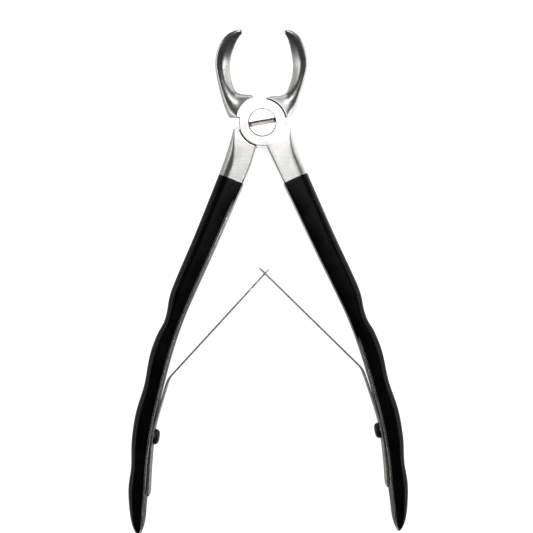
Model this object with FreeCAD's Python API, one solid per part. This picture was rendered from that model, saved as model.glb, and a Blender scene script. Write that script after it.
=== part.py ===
import FreeCAD, Part
import math
import os

from FreeCAD import Vector

# Extraction forceps with a spring return, lying on its back.
# Millimetres. The origin is on the pivot axis, at the back of the joint: +X to the right handle's
# side, +Y towards the beaks, +Z out of the joint's front face.
# A lever is drawn with its handle at +X and its beak at -X. The front lever is used as drawn,
# and the rear lever is drawn the same way and then mirrored.

# ---- joint ----
JOINT_DEPTH = 9.0          # back face to front face
MID_PLANE = JOINT_DEPTH / 2
FACE_GAP = 0.03            # each half stands this far off the middle plane
DISC_RADIUS = 8.0          # the round half of each lever
POCKET_RADIUS = 8.35       # the round pocket that the other lever's disc turns in
SCREW_RADIUS = 3.0
SCREW_RUNNING_GAP = 0.05
HEAD_RADIUS = 4.7
HEAD_DEPTH = 2.3
HEAD_SEAT_RADIUS = 4.8
HEAD_SEAT_DEPTH = 2.4
SCREW_SLOT = (1.4, 1.1)    # width and depth
SCREW_SLOT_ANGLE = 10.0

# ---- handles ----
COAT = 0.4                 # thickness of the black coating
STEEL_ENDS = (11.19, -18.8)                   # a point on the line where the coating starts
STEEL_END_LEAN = 23.5      # the handle's heading there, degrees from -Y
EDGE_CHAMFER = 0.6
# middle x, middle y, width across, share of the width that is rounded on the outer side
HANDLE_STATIONS = [
    (9.1, -13.9, 9.4, 0.42), (13.7, -24.5, 8.8, 0.45),
    (20.5, -40.0, 8.3, 0.45), (27.4, -55.0, 7.9, 0.46), (29.5, -60.0, 7.5, 0.46),
    (31.2, -65.4, 6.2, 0.45), (32.5, -69.0, 6.0, 0.45), (34.6, -73.6, 6.8, 0.46),
    (36.8, -80.0, 7.1, 0.46), (39.2, -90.0, 6.4, 0.45), (42.0, -100.0, 7.1, 0.46),
    (43.6, -109.0, 6.8, 0.46), (44.3, -117.5, 6.0, 0.45), (45.1, -125.0, 6.5, 0.46),
    (45.4, -131.5, 5.6, 0.46), (45.3, -136.5, 4.4, 0.46),
]
HANDLE_TIP = [(45.1, -139.4, 2.8, 0.7), (45.0, -140.9, 1.2, 2.1)]   # x, y, width, pulled in at the faces
TIP_ROUNDED = 0.46
# height on the lever, depth of the handle
HANDLE_DEPTHS = [(-6.0, 9.0), (-30.0, 8.6), (-100.0, 8.2), (-130.0, 7.6), (-141.0, 7.2)]
HANDLE_TURN = {"front": 0.9, "rear": -0.9}    # each handle's own lean about the pivot, degrees

# ---- beaks: middle x, middle y, width across, depth ----
BEAK_STATIONS = {
    "front": [
        (-8.9, 2.2, 4.4, 8.8), (-9.5, 4.2, 5.2, 8.9), (-10.7, 7.8, 5.7, 8.8), (-12.0, 11.6, 5.3, 8.2),
        (-13.0, 15.5, 5.1, 7.4), (-13.4, 19.6, 5.2, 6.2), (-12.6, 23.3, 5.3, 5.3), (-10.8, 26.3, 4.7, 4.3),
        (-8.7, 28.0, 3.2, 3.2), (-6.6, 29.0, 1.5, 1.6),
    ],
    "rear": [
        (-7.7, 2.2, 4.2, 8.8), (-8.3, 4.2, 5.1, 8.9), (-9.7, 7.8, 5.8, 8.8), (-11.0, 11.6, 5.5, 8.2),
        (-12.2, 15.5, 5.2, 7.4), (-12.8, 19.6, 5.2, 6.2), (-12.1, 23.3, 5.2, 5.3), (-10.8, 26.3, 4.5, 4.3),
        (-9.2, 28.0, 3.2, 3.1), (-7.4, 29.0, 1.5, 1.5),
    ],
}
BEAK_BEND_START = 4.0      # height where the beaks start to bend forwards
BEAK_BEND_RADIUS = 34.0
# corners of a beak's section, as shares of half its width and depth: outer side, crown, inner side
BEAK_OUTLINE = [
    (-1.0, 0.0), (-0.96, 0.62), (-0.55, 0.93), (-0.2, 0.97), (0.3, 0.64), (0.75, 0.25), (1.0, 0.0),
]
ROOT_OUTLINE = [
    (-1.0, 0.0), (-0.93, 0.48), (-0.55, 0.76), (0.0, 0.9), (0.55, 0.95), (0.9, 0.7), (1.0, 0.0),
]
ROOT_BLEND = (6.0, 14.0)   # heights between which the section goes from the root's to the beak's

# ---- flat outlines that join disc, beak and handle ----
WEB = {
    "front": [
        (-8.5, 1.5), (-9.6, 1.5), (-10.4, 4.0), (-11.2, 7.4), (-11.6, 9.6), (-10.8, 11.2), (-9.6, 11.4),
        (-8.5, 10.8), (-7.4, 10.2), (-5.6, 9.9), (-2.95, 9.9), (-2.95, 7.0), (-4.0, 2.0),
    ],
    "rear": [
        (-8.4, 1.4), (-8.9, 1.4), (-9.6, 4.0), (-10.4, 7.4), (-10.8, 9.6), (-10.0, 11.0), (-8.9, 11.2),
        (-8.0, 10.6), (-6.9, 9.9), (-5.4, 9.6), (-2.8, 9.4), (-1.6, 8.9), (-1.2, 8.2),
        (-1.2, 6.5), (-4.0, 1.0),
    ],
}
SHANK = {
    "front": [(1.6, -8.3), (9.0, -5.0), (9.85, -2.3), (9.2, -1.0), (7.7, -0.4), (5.0, 0.0), (1.6, -5.0)],
    "rear": [(2.4, -8.5), (9.3, -5.2), (9.8, -2.0), (8.9, -1.8), (5.0, -1.0), (2.4, -5.0)],
}
SHANK_STATIONS = {
    "front": [(5.2, -3.7, 9.9, 0.05), (6.1, -6.3, 9.9, 0.15)],
    "rear": [(5.5, -3.3, 9.3, 0.05), (6.5, -6.6, 9.3, 0.15)],
}
WEB_FROM_Y = 0.8           # the webs' faces fall away above this height only
LAND_RADIUS = {"front": 9.2, "rear": 8.75}    # the ground flat round the joint reaches this far on the webs
# past the ground flat the webs fall away: distance past it, drop
WEB_FALL = [(0.0, 0.0), (1.5, 0.4), (3.0, 1.0), (5.0, 2.0), (8.0, 3.6)]
ROOT_SLANT = (1.5, 3.3)    # the webs' lower ends: height at the front face, height at the back face

# ---- return springs: two leaves that hook through each other ----
LEAF_THICKNESS = 0.6
LEAF_BOTTOM, LEAF_TOP = 1.7, 7.2
LEAF_MIDDLE = (LEAF_BOTTOM + LEAF_TOP) / 2
LEAF_BEND_Y = {"front": -83.3, "rear": -86.6}
LEAF_TAIL_Y = {"front": -124.3, "rear": -127.8}
LEAF_GAPS = [(0.0, 1.0), (0.25, 0.4), (0.8, 0.4), (1.0, 0.5)]    # share of the way down, gap to the handle
SCREW_SEAT = 3.3           # the leaf is straight this far each way from its screw
SEAT_GAP = 0.12            # the leaf stands this far off the handle there
HEAD_GAP = 0.02            # and the screw's head this far off the leaf
ARM_ANGLE = {"front": 45.6, "rear": 42.5}     # from the Y axis, at rest, on the finished part
ARM_LENGTH = {"front": 49.8, "rear": 51.2}
ARM_START = 0.45           # the arm's own solid starts this far from its bend
SLOT_FROM, SLOT_TO, SLOT_WIDTH = 44.6, 48.9, 2.8
TAPER_FROM, TONGUE_FROM, TONGUE_WIDTH = 41.5, 45.9, 1.8

# ---- spring screws ----
SPRING_SCREW_Y = {"front": -105.7, "rear": -106.5}
SPRING_SCREW_RADIUS = 1.5
SPRING_HEAD_RADIUS = 2.65
SPRING_HEAD_HEIGHT = 1.7
SPRING_SCREW_LENGTH = 4.2
SPRING_BORE_GAP = 0.02
HEX_SOCKET = (1.0, 0.9)    # across-corner radius and depth


def prism(points, bottom, top):
    """A flat outline with straight sides, from one height to another."""
    corners = [Vector(x, y, bottom) for x, y in points]
    face = Part.Face(Part.makePolygon(corners + corners[:1]))
    return face.extrude(Vector(0, 0, top - bottom))


def cylinder(radius, bottom, top):
    return Part.makeCylinder(radius, top - bottom, Vector(0, 0, bottom), Vector(0, 0, 1))


def between(table, at):
    """Straight-line reading of a table of (place, value) that runs downwards."""
    for (a, value_a), (b, value_b) in zip(table, table[1:]):
        if at >= b:
            share = min(1.0, max(0.0, (a - at) / (a - b)))
            return value_a + share * (value_b - value_a)
    return table[-1][1]


def turned(x, y, degrees):
    angle = math.radians(degrees)
    return x * math.cos(angle) - y * math.sin(angle), x * math.sin(angle) + y * math.cos(angle)


def quarter(start, corner, end):
    """A quarter of an ellipse from start to end, bulging towards the corner."""
    pull = 0.5523
    one = start + (corner - start) * pull
    two = end + (corner - end) * pull
    curve = Part.BezierCurve()
    curve.setPoles([start, one, two, end])
    return curve.toShape()


# ---------------------------------------------------------------- handles

def handle_stations(side):
    """Stations of one handle, in its own lean: middle, heading, width, rounded share, pull-in."""
    shank = [row + (0.0,) for row in SHANK_STATIONS[side]]
    handle = [row + (0.0,) for row in HANDLE_STATIONS]
    handle += [(x, y, width, TIP_ROUNDED, pull) for x, y, width, pull in HANDLE_TIP]
    rows = shank + handle
    middles = [Vector(x, y, 0) for x, y, *_ in shank]
    middles += [Vector(*turned(x, y, HANDLE_TURN[side]), 0) for x, y, *_ in handle]
    stations = []
    for i, row in enumerate(rows):
        ahead = middles[min(i + 1, len(rows) - 1)]
        behind = middles[max(i - 1, 0)]
        heading = (ahead - behind).normalize()
        stations.append((middles[i], heading, row[2], row[3], row[4], between(HANDLE_DEPTHS, row[1])))
    return stations


def handle_section(station, inset):
    """A D-shaped section: flat inner side with chamfers, flat front and back, rounded outer side."""
    middle, heading, width, rounded, pull, depth = station
    outward = Vector(-heading.y, heading.x, 0)

    def at(across, height):
        return middle + outward * across + Vector(0, 0, height)

    inner, outer = -width / 2 + inset, width / 2 - inset
    low, high = pull + inset, depth - pull - inset
    cut = min(EDGE_CHAMFER, (outer - inner) / 4, (high - low) / 4)
    flat_end = outer - rounded * (outer - inner)
    waist = (low + high) / 2
    edges = [
        Part.makeLine(at(inner, low + cut), at(inner, high - cut)),
        Part.makeLine(at(inner, high - cut), at(inner + cut, high)),
        Part.makeLine(at(inner + cut, high), at(flat_end, high)),
        quarter(at(flat_end, high), at(outer, high), at(outer, waist)),
        quarter(at(outer, waist), at(outer, low), at(flat_end, low)),
        Part.makeLine(at(flat_end, low), at(inner + cut, low)),
        Part.makeLine(at(inner + cut, low), at(inner, low + cut)),
    ]
    return Part.Wire(edges)


def handle_loft(side, inset):
    stations = handle_stations(side)
    if inset > 0:
        stations = stations[: -len(HANDLE_TIP)]
    return Part.makeLoft([handle_section(s, inset) for s in stations], True, False)


def boundary_plane(side):
    """Where the coating starts: a point on the handle and its heading there."""
    point = Vector(*turned(*STEEL_ENDS, HANDLE_TURN[side]), 0)
    angle = math.radians(STEEL_END_LEAN + HANDLE_TURN[side])
    return point, Vector(math.sin(angle), -math.cos(angle), 0)


def half_space(side):
    """A big block that holds everything below the coating's upper end."""
    point, heading = boundary_plane(side)
    across = Vector(-heading.y, heading.x, 0)
    size = 200.0
    corner = point - across * (size / 2) - Vector(0, 0, size / 2)
    side_step, down_step = across * size, heading * size
    corners = [corner, corner + side_step, corner + side_step + down_step, corner + down_step]
    return Part.Face(Part.makePolygon(corners + corners[:1])).extrude(Vector(0, 0, size))


def handle_solids(side):
    """The bare steel shank with the core that the coating covers, and the coating."""
    whole = handle_loft(side, 0.0)
    core = handle_loft(side, COAT)
    below = half_space(side)
    shank = whole.cut(below)
    covered = core.common(below)
    coating = whole.common(below).cut(core)
    return shank.fuse(covered), coating


# ---------------------------------------------------------------- beaks

def beak_height(y):
    """Height of a beak's middle line: level, then an arc that bends forwards."""
    along = max(0.0, y - BEAK_BEND_START)
    return MID_PLANE + BEAK_BEND_RADIUS - math.sqrt(BEAK_BEND_RADIUS ** 2 - along ** 2)


def beak_section(middle, heading, width, depth):
    """A closed smooth section square to the beak's middle line."""
    start, end = ROOT_BLEND
    share = min(1.0, max(0.0, (middle.y - start) / (end - start)))
    pairs = zip(ROOT_OUTLINE, BEAK_OUTLINE)
    outline = [(a + share * (c - a), b + share * (d - b)) for (a, b), (c, d) in pairs]
    across = Vector(heading.y, -heading.x, 0).normalize()
    up = heading.cross(across).normalize()
    if up.z < 0:
        up = -up
    upper = [middle + across * (a * width / 2) + up * (b * depth / 2) for a, b in outline]
    lower = [middle + across * (a * width / 2) - up * (b * depth / 2) for a, b in outline[-2:0:-1]]
    curve = Part.BSplineCurve()
    curve.interpolate(Points=upper + lower, PeriodicFlag=True)
    return Part.Wire([curve.toShape()])


def beak(side):
    rows = BEAK_STATIONS[side]
    middles = [Vector(x, y, beak_height(y)) for x, y, width, depth in rows]
    sections = []
    for i, (x, y, width, depth) in enumerate(rows):
        heading = (middles[min(i + 1, len(rows) - 1)] - middles[max(i - 1, 0)]).normalize()
        sections.append(beak_section(middles[i], heading, width, depth))
    return Part.makeLoft(sections, True, False)


# ---------------------------------------------------------------- levers

def root_waste():
    """What is taken off under a web, so that its lower end slants up towards the back."""
    front_y, back_y = ROOT_SLANT
    reach = 20.0
    corners = [Vector(-reach, back_y, 0), Vector(-reach, front_y, JOINT_DEPTH),
               Vector(-reach, -reach, JOINT_DEPTH), Vector(-reach, -reach, 0)]
    return Part.Face(Part.makePolygon(corners + corners[:1])).extrude(Vector(reach, 0, 0))


def web_fall(side):
    """What is taken off the web's faces past the ground flat, on the beak's side only."""
    land = LAND_RADIUS[side]
    top = JOINT_DEPTH
    points = [Vector(land + past, 0, top - drop) for past, drop in WEB_FALL]
    curve = Part.BSplineCurve()
    curve.interpolate(points)
    above = top + 1
    roof = [points[-1], Vector(points[-1].x, 0, above), Vector(land, 0, above), points[0]]
    edges = [curve.toShape()] + [Part.makeLine(a, b) for a, b in zip(roof, roof[1:])]
    ring = Part.Face(Part.Wire(edges)).revolve(Vector(0, 0, 0), Vector(0, 0, 1), 360)
    reach = points[-1].x + 1
    front = ring.common(Part.makeBox(reach, reach, above, Vector(-reach, WEB_FROM_Y, 0)))
    back = front.mirror(Vector(0, 0, MID_PLANE), Vector(0, 0, 1))
    return front, back


def lever(side):
    """One forging: beak, web, half of the joint, shank and handle core. Drawn as the front lever."""
    handle, coating = handle_solids(side)
    body = prism(WEB[side], 0, JOINT_DEPTH)
    for waste in web_fall(side):
        body = body.cut(waste)
    body = body.fuse(beak(side)).cut(root_waste())
    body = body.fuse(prism(SHANK[side], 0, JOINT_DEPTH)).fuse(handle)
    if side == "front":
        own_low, own_high = MID_PLANE + FACE_GAP, JOINT_DEPTH
        pocket_low, pocket_high = -1.0, MID_PLANE + FACE_GAP
    else:
        own_low, own_high = 0.0, MID_PLANE - FACE_GAP
        pocket_low, pocket_high = MID_PLANE - FACE_GAP, JOINT_DEPTH + 30.0
    disc = cylinder(DISC_RADIUS, own_low, own_high)
    pocket = cylinder(POCKET_RADIUS, pocket_low, pocket_high)
    body = body.fuse(disc).cut(pocket)
    if side == "front":
        body = body.cut(cylinder(SCREW_RADIUS + SCREW_RUNNING_GAP, -1, JOINT_DEPTH + 1))
        body = body.cut(cylinder(HEAD_SEAT_RADIUS, JOINT_DEPTH - HEAD_SEAT_DEPTH, JOINT_DEPTH + 1))
    else:
        body = body.cut(cylinder(SCREW_RADIUS, -1, JOINT_DEPTH + 1))
    return body.removeSplitter(), coating


def pivot_screw():
    """Slotted screw: its head sits in the front lever and its shank is fast in the rear lever."""
    body = cylinder(SCREW_RADIUS, 0, JOINT_DEPTH - HEAD_DEPTH)
    body = body.fuse(cylinder(HEAD_RADIUS, JOINT_DEPTH - HEAD_DEPTH, JOINT_DEPTH))
    width, depth = SCREW_SLOT
    slot = Part.makeBox(4 * HEAD_RADIUS, width, depth + 1)
    slot.translate(Vector(-2 * HEAD_RADIUS, -width / 2, JOINT_DEPTH - depth))
    slot.rotate(Vector(0, 0, 0), Vector(0, 0, 1), SCREW_SLOT_ANGLE)
    return body.cut(slot)


# ---------------------------------------------------------------- springs

def inner_face(side, y, gap):
    """A point off the handle's inner face, near height y, and the way out of the face there."""
    stations = handle_stations(side)
    for one, two in zip(stations, stations[1:]):
        if one[0].y >= y >= two[0].y:
            share = (one[0].y - y) / (one[0].y - two[0].y)
            middle = one[0] + (two[0] - one[0]) * share
            heading = (one[1] + (two[1] - one[1]) * share).normalize()
            width = one[2] + (two[2] - one[2]) * share
            away = Vector(heading.y, -heading.x, 0)
            return middle + away * (width / 2 + gap), away
    raise ValueError("height %s is off the handle" % y)


def leaf_path(side):
    """Middle line of a leaf's clamped stretch, from its bend to its tail, with the ways out."""
    top = LEAF_BEND_Y[side]
    path = []
    for share, gap in LEAF_GAPS:
        y = top + share * (LEAF_TAIL_Y[side] - top)
        path.append(inner_face(side, y, gap + LEAF_THICKNESS / 2))
    foot, away = spring_screw_axis(side)
    centre = foot - away * (LEAF_THICKNESS / 2 + HEAD_GAP) - Vector(0, 0, LEAF_MIDDLE)
    along = Vector(-away.y, away.x, 0)
    seat = [(centre + along * step, away) for step in (-SCREW_SEAT, 0.0, SCREW_SEAT)]
    if seat[0][0].y < seat[2][0].y:
        seat.reverse()
    return path[:2] + seat + path[2:]


def through(points):
    curve = Part.BSplineCurve()
    curve.interpolate(points)
    return curve.toShape()


def leaf_base(side):
    """The leaf's stretch along the handle, with the hole for its screw."""
    path = leaf_path(side)
    half = LEAF_THICKNESS / 2
    floor = Vector(0, 0, LEAF_BOTTOM)
    near = [point + away * half + floor for point, away in path]
    far = [point - away * half + floor for point, away in path]
    outline = Part.Wire([
        through(near), Part.makeLine(near[-1], far[-1]), through(far[::-1]), Part.makeLine(far[0], near[0]),
    ])
    strip = Part.Face(outline).extrude(Vector(0, 0, LEAF_TOP - LEAF_BOTTOM))
    foot, away = spring_screw_axis(side)
    seat_radius = SPRING_HEAD_RADIUS + SPRING_BORE_GAP
    seat = Part.makeCylinder(seat_radius, SPRING_HEAD_HEIGHT, foot - away * (HEAD_GAP / 2), away)
    return strip.cut(spring_screw_bore(side)).cut(seat)


def arm_strip(outline, thickness):
    """A flat strip along +Y from its bend. The outline gives (distance from the bend, half width)."""
    upper = [Vector(-thickness / 2, along, LEAF_MIDDLE + half) for along, half in outline]
    lower = [Vector(-thickness / 2, along, LEAF_MIDDLE - half) for along, half in reversed(outline)]
    face = Part.Face(Part.makePolygon(upper + lower + upper[:1]))
    return face.extrude(Vector(thickness, 0, 0))


def leaf_arm(side):
    """The leaf's free stretch. The front lever's is slotted, and the rear lever's has a tongue."""
    length = ARM_LENGTH[side]
    half = (LEAF_TOP - LEAF_BOTTOM) / 2
    if side == "front":
        arm = arm_strip([(ARM_START, half), (length, half)], LEAF_THICKNESS)
        arm = arm.cut(arm_strip([(SLOT_FROM, SLOT_WIDTH / 2), (SLOT_TO, SLOT_WIDTH / 2)], 3 * LEAF_THICKNESS))
    else:
        narrow = TONGUE_WIDTH / 2
        outline = [(ARM_START, half), (TAPER_FROM, half), (TONGUE_FROM, narrow), (length, narrow)]
        arm = arm_strip(outline, LEAF_THICKNESS)
    bend = leaf_path(side)[0][0]
    arm.rotate(Vector(0, 0, 0), Vector(0, 0, 1), ARM_ANGLE[side])
    arm.translate(Vector(bend.x, bend.y, 0))
    return arm


def spring_screw_axis(side):
    """Foot of the screw's head on the leaf, and the way the head points."""
    y = turned(40.0, SPRING_SCREW_Y[side], HANDLE_TURN[side])[1]
    point, away = inner_face(side, y, SEAT_GAP + LEAF_THICKNESS + HEAD_GAP)
    return point + Vector(0, 0, LEAF_MIDDLE), away


def spring_screw_bore(side):
    foot, away = spring_screw_axis(side)
    start = foot - away * (SPRING_SCREW_LENGTH + SPRING_BORE_GAP)
    return Part.makeCylinder(SPRING_SCREW_RADIUS + SPRING_BORE_GAP, SPRING_SCREW_LENGTH + 2, start, away)


def spring_screw(side):
    """Button-head screw with a hexagon socket, turned along +Z and then laid on its axis."""
    foot, away = spring_screw_axis(side)
    rim, crown = SPRING_HEAD_RADIUS, SPRING_HEAD_RADIUS * 0.55
    shoulder = Vector((rim + crown) / 2 + 0.35, 0, SPRING_HEAD_HEIGHT * 0.72)
    points = [Vector(0, 0, 0), Vector(rim, 0, 0), Vector(rim, 0, 0.25), Vector(crown, 0, SPRING_HEAD_HEIGHT)]
    profile = Part.Wire([
        Part.makeLine(points[0], points[1]), Part.makeLine(points[1], points[2]),
        Part.Arc(points[2], shoulder, points[3]).toShape(),
        Part.makeLine(points[3], Vector(0, 0, SPRING_HEAD_HEIGHT)),
        Part.makeLine(Vector(0, 0, SPRING_HEAD_HEIGHT), points[0]),
    ])
    head = Part.Face(profile).revolve(Vector(0, 0, 0), Vector(0, 0, 1), 360)
    across, depth = HEX_SOCKET
    corners = [turned(across, 0, 60 * i) for i in range(6)]
    socket = prism(corners, SPRING_HEAD_HEIGHT - depth, SPRING_HEAD_HEIGHT + 1)
    screw = head.fuse(cylinder(SPRING_SCREW_RADIUS, -SPRING_SCREW_LENGTH, 0)).cut(socket)
    screw.Placement = FreeCAD.Placement(foot, FreeCAD.Rotation(Vector(0, 0, 1), away))
    return screw


# ---------------------------------------------------------------- whole part

def build():
    parts = {"pivot_screw": pivot_screw()}
    leaf_names = {"front": "slotted_leaf", "rear": "tongue_leaf"}
    for side in ("front", "rear"):
        steel, coating = lever(side)
        bore = spring_screw_bore(side)
        pieces = {
            side + "_lever": steel.cut(bore),
            side + "_handle_coating": coating.cut(bore),
            leaf_names[side] + "_base": leaf_base(side),
            leaf_names[side] + "_arm": leaf_arm(side),
            leaf_names[side] + "_screw": spring_screw(side),
        }
        for name, piece in pieces.items():
            if side == "rear":
                piece = piece.mirror(Vector(0, 0, 0), Vector(1, 0, 0))
            parts[name] = piece
    return parts


os.makedirs("parts", exist_ok=True)
for name, shape in build().items():
    assert shape.isValid(), name
    assert len(shape.Solids) == 1, "%s has %d solids" % (name, len(shape.Solids))
    shape = shape.Solids[0]
    shape.exportStep("parts/%s.step" % name)
    box = shape.BoundBox
    print("%-24s volume %8.1f  x %.1f %.1f  y %.1f %.1f  z %.1f %.1f" % (
        name, shape.Volume, box.XMin, box.XMax, box.YMin, box.YMax, box.ZMin, box.ZMax))
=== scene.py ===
"""Extraction forceps with a spring return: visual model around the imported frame.

Lengths in the tables are millimetres in the frame's own axes: +X to the front lever's handle,
+Y towards the beaks, +Z out of the joint's front face. Everything is scaled to metres once built.
"""

import math

import bmesh
import bpy
from mathutils import Matrix, Vector


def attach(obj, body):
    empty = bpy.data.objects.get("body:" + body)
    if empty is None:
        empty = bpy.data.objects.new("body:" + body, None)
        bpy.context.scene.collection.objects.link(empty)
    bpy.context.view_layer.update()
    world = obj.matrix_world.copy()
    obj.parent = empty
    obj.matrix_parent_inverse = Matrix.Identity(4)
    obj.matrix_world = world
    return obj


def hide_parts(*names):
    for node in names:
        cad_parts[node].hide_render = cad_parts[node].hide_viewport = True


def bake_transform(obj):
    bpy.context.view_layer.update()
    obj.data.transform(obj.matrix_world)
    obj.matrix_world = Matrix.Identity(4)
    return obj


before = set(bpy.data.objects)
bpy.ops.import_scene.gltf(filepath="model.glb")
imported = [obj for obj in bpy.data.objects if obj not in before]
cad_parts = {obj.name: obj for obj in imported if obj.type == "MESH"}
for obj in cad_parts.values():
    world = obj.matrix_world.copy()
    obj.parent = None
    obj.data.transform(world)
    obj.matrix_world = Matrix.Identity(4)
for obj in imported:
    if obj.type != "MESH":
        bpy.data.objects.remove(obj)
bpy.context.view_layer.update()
MM = 0.001

# ---------------------------------------------------------------- sizes

JOINT_DEPTH = 9.0
MID_PLANE = 4.5
FACE_GAP = 0.03
DISC_RADIUS = 8.0
POCKET_RADIUS = 8.35
SCREW_HOLE_RADIUS = 3.05
HEAD_SEAT_RADIUS = 4.8
HEAD_SEAT_FLOOR = 6.6
# radius, height
PIVOT_PROFILE = [
    (0, 0.02), (2.7, 0.02), (2.95, 0.1), (3.0, 0.3), (3.0, 6.7), (4.55, 6.7), (4.7, 6.85),
    (4.7, 8.85), (4.67, 8.94), (4.6, 9.0), (0, 9.0),
]
# along the slot, height: the slot's floor drops away at both ends
PIVOT_SLOT = [(-9.0, 10.0), (-9.0, 6.0), (-3.8, 7.9), (3.8, 7.9), (9.0, 6.0), (9.0, 10.0)]
PIVOT_SLOT_HALF = 0.72
PIVOT_SLOT_TURN = 10.0
STEEL_ENDS = (11.19, -18.8)
STEEL_END_LEAN = 23.5      # the handle's heading there, degrees from -Y
COAT = 0.4

# middle x, middle y, width across, share of the width that is rounded, pull-in at front and back
HANDLE = [
    (9.1, -13.9, 9.4, 0.42, 0.0), (13.7, -24.5, 8.8, 0.45, 0.0), (20.5, -40.0, 8.3, 0.45, 0.0),
    (27.4, -55.0, 7.9, 0.46, 0.0), (29.5, -60.0, 7.5, 0.46, 0.0), (31.2, -65.4, 6.2, 0.45, 0.0),
    (32.5, -69.0, 6.0, 0.45, 0.0), (34.6, -73.6, 6.8, 0.46, 0.0), (36.8, -80.0, 7.1, 0.46, 0.0),
    (39.2, -90.0, 6.4, 0.45, 0.0), (42.0, -100.0, 7.1, 0.46, 0.0), (43.6, -109.0, 6.8, 0.46, 0.0),
    (44.3, -117.5, 6.0, 0.45, 0.0), (45.1, -125.0, 6.5, 0.46, 0.0), (45.4, -131.5, 5.6, 0.46, 0.0),
    (45.3, -136.5, 4.4, 0.46, 0.0), (45.1, -139.4, 2.8, 0.46, 0.7), (45.0, -140.9, 1.2, 0.46, 2.1),
]
HANDLE_DEPTHS = [(-6.0, 9.0), (-30.0, 8.6), (-100.0, 8.2), (-130.0, 7.6), (-141.0, 7.2)]
HANDLE_TURN = {"front": 0.9, "rear": -0.9}
HANDLE_SPACING = 0.6
COARSE_SPACING = 2.0
LEAF_SPACING = 0.5
SHANK_START = {
    "front": [(5.2, -3.7, 9.9, 0.03, 0.0), (6.1, -6.3, 9.9, 0.15, 0.0)],
    "rear": [(5.5, -3.3, 9.3, 0.03, 0.0), (6.5, -6.6, 9.3, 0.15, 0.0)],
}

# middle x, middle y, width, depth
BEAK = {
    "front": [
        (-8.9, 2.2, 4.4, 8.8), (-9.5, 4.2, 5.2, 8.9), (-10.7, 7.8, 5.7, 8.8), (-12.0, 11.6, 5.3, 8.2),
        (-13.0, 15.5, 5.1, 7.4), (-13.4, 19.6, 5.2, 6.2), (-12.6, 23.3, 5.3, 5.3), (-10.8, 26.3, 4.7, 4.3),
        (-8.7, 28.0, 3.2, 3.2), (-6.6, 29.0, 1.5, 1.6),
    ],
    "rear": [
        (-7.7, 2.2, 4.2, 8.8), (-8.3, 4.2, 5.1, 8.9), (-9.7, 7.8, 5.8, 8.8), (-11.0, 11.6, 5.5, 8.2),
        (-12.2, 15.5, 5.2, 7.4), (-12.8, 19.6, 5.2, 6.2), (-12.1, 23.3, 5.2, 5.3), (-10.8, 26.3, 4.5, 4.3),
        (-9.2, 28.0, 3.2, 3.1), (-7.4, 29.0, 1.5, 1.5),
    ],
}
BEAK_BEND_START = 4.0
BEAK_BEND_RADIUS = 34.0

WEB = {
    "front": [
        (-8.5, 1.5), (-9.6, 1.5), (-10.4, 4.0), (-11.2, 7.4), (-11.6, 9.6), (-10.8, 11.2), (-9.6, 11.4),
        (-8.5, 10.8), (-7.4, 10.2), (-5.6, 9.9), (-2.95, 9.9), (-2.95, 7.0), (-4.0, 2.0),
    ],
    "rear": [
        (-8.4, 1.4), (-8.9, 1.4), (-9.6, 4.0), (-10.4, 7.4), (-10.8, 9.6), (-10.0, 11.0), (-8.9, 11.2),
        (-8.0, 10.6), (-6.9, 9.9), (-5.4, 9.6), (-2.8, 9.4), (-1.6, 8.9), (-1.2, 8.2), (-1.2, 6.5),
        (-4.0, 1.0),
    ],
}
SHANK = {
    "front": [(1.6, -8.3), (9.0, -5.0), (9.85, -2.3), (9.2, -1.0), (7.7, -0.4), (5.0, 0.0), (1.6, -5.0)],
    "rear": [(2.4, -8.5), (9.3, -5.2), (9.8, -2.0), (8.9, -1.8), (5.0, -1.0), (2.4, -5.0)],
}
ROOT_SLANT = (1.5, 3.3)    # the webs' lower ends: height at the front face, height at the back face
LAND_RADIUS = {"front": 9.2, "rear": 8.75}     # how far the ground flat round the joint reaches
WEB_SLOPE, WEB_CURVE = 0.22, 0.032    # past the ground flat: drop per distance, and per distance squared
WEB_CORE = 1.5             # no drop this close to the middle plane, and all of it WEB_SKIN further out
WEB_SKIN = 2.5
ROOT_EDGE = 0.6            # smoothing of the root: grows from the flat over this distance
ROOT_SMOOTH_END = 19.0     # and fades over ROOT_SMOOTH_FADE to its least share here
ROOT_SMOOTH_FADE = 5.0
ROOT_SMOOTH_LEAST = 0.12
ROOT_ROUNDS = 150
WEB_VOXEL, SHANK_VOXEL, LEVER_VOXEL, SCREW_VOXEL = 0.25, 0.2, 0.16, 0.085
LEVER_FACES = 185000
BELOW_ALL, ABOVE_ALL = -5.0, 40.0

LEAF_THICKNESS = 0.6
LEAF_BOTTOM, LEAF_TOP = 1.7, 7.2
LEAF_BEND_Y = {"front": -83.3, "rear": -86.6}
LEAF_TAIL_Y = {"front": -124.3, "rear": -127.8}
LEAF_GAPS = [(0.0, 1.0), (0.25, 0.4), (0.8, 0.4), (1.0, 0.5)]    # share of the way to the tail, gap
LEAF_BEND_RADIUS = 1.6
LEAF_EDGE = 0.09           # broken edge
LEAF_EDGE_UV = (3, 2.4, 0, 0, 2.4, 3)
SCREW_SEAT = 3.3           # the leaf is straight this far each way from its screw
SEAT_GAP = 0.12            # between the coating and the leaf under its screw
HEAD_GAP = 0.02            # between the leaf and the screw's head
ARM_ANGLE = {"front": 45.6, "rear": 42.5}
ARM_LENGTH = {"front": 49.8, "rear": 51.2}
ARM_SPACING = 0.35
SLOT = (44.6, 48.9, 2.8)       # start and finish past the bend, width
SLOT_CORNER = 0.5
SLOTTED_TIP_RADIUS = 0.6
TONGUE = (41.5, 45.9, 1.8)     # where it starts and stops narrowing, width
TONGUE_TIP_RADIUS = 0.8
SPRING_SCREW_Y = {"front": -105.7, "rear": -106.5}
BUTTON_RIM, BUTTON_HEIGHT, BUTTON_EDGE = 2.65, 1.7, 0.3
BUTTON_SHAFT_RADIUS, BUTTON_SHAFT_LENGTH = 1.5, 4.2
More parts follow.
